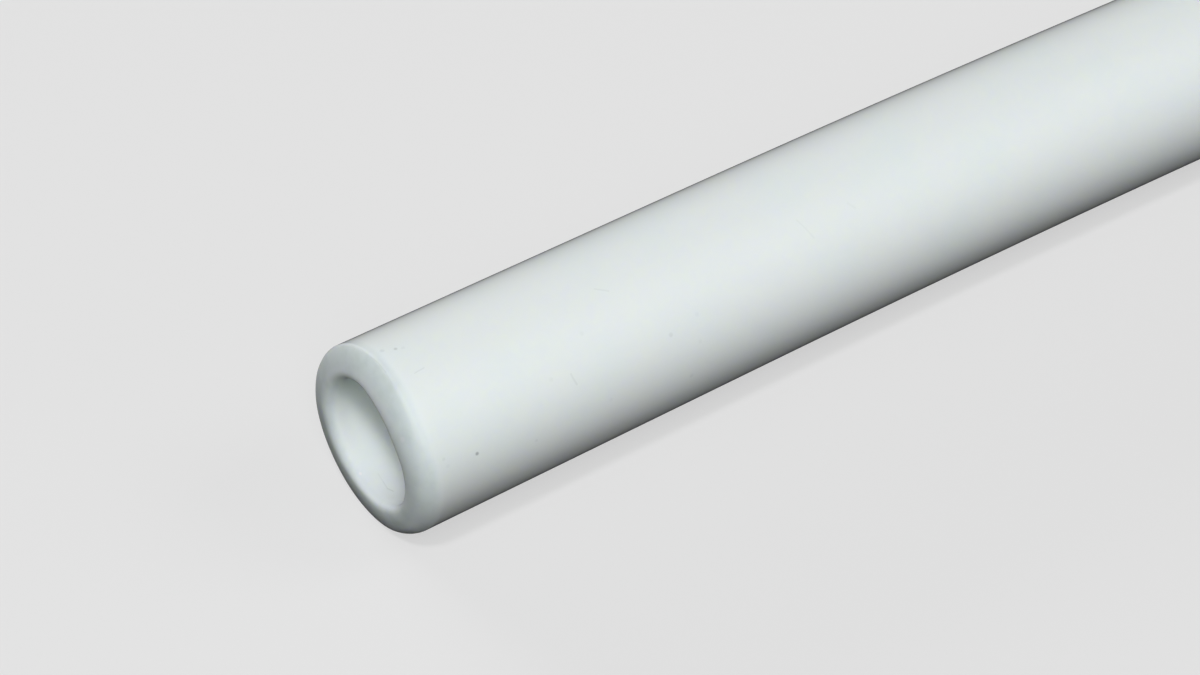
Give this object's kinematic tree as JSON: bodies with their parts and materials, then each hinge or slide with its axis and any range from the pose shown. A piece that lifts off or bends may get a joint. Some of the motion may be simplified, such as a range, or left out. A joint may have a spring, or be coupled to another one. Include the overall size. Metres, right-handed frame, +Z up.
{
  "type": "silicone tube",
  "caption": "Cut length of milky white silicone rubber tube with a thick soft wall and a round open bore, lying with a slight bow from its coil, for carrying liquids or gases.",
  "frame": {"origin": "on the table, under the middle of the tube's bounding box", "axes": "+X along the tube from the near, knife-dragged end to the far end, +Y towards the outside of its slight bow, +Z up from the table"},
  "size_m": [0.1504, 0.0139, 0.012],
  "materials": {
    "silicone": "milky translucent white with a cool tint, smooth with a soft satin sheen"
  },
  "bodies": {
    "root": {"silicone_tube": "silicone"}
  },
  "joints": []
}
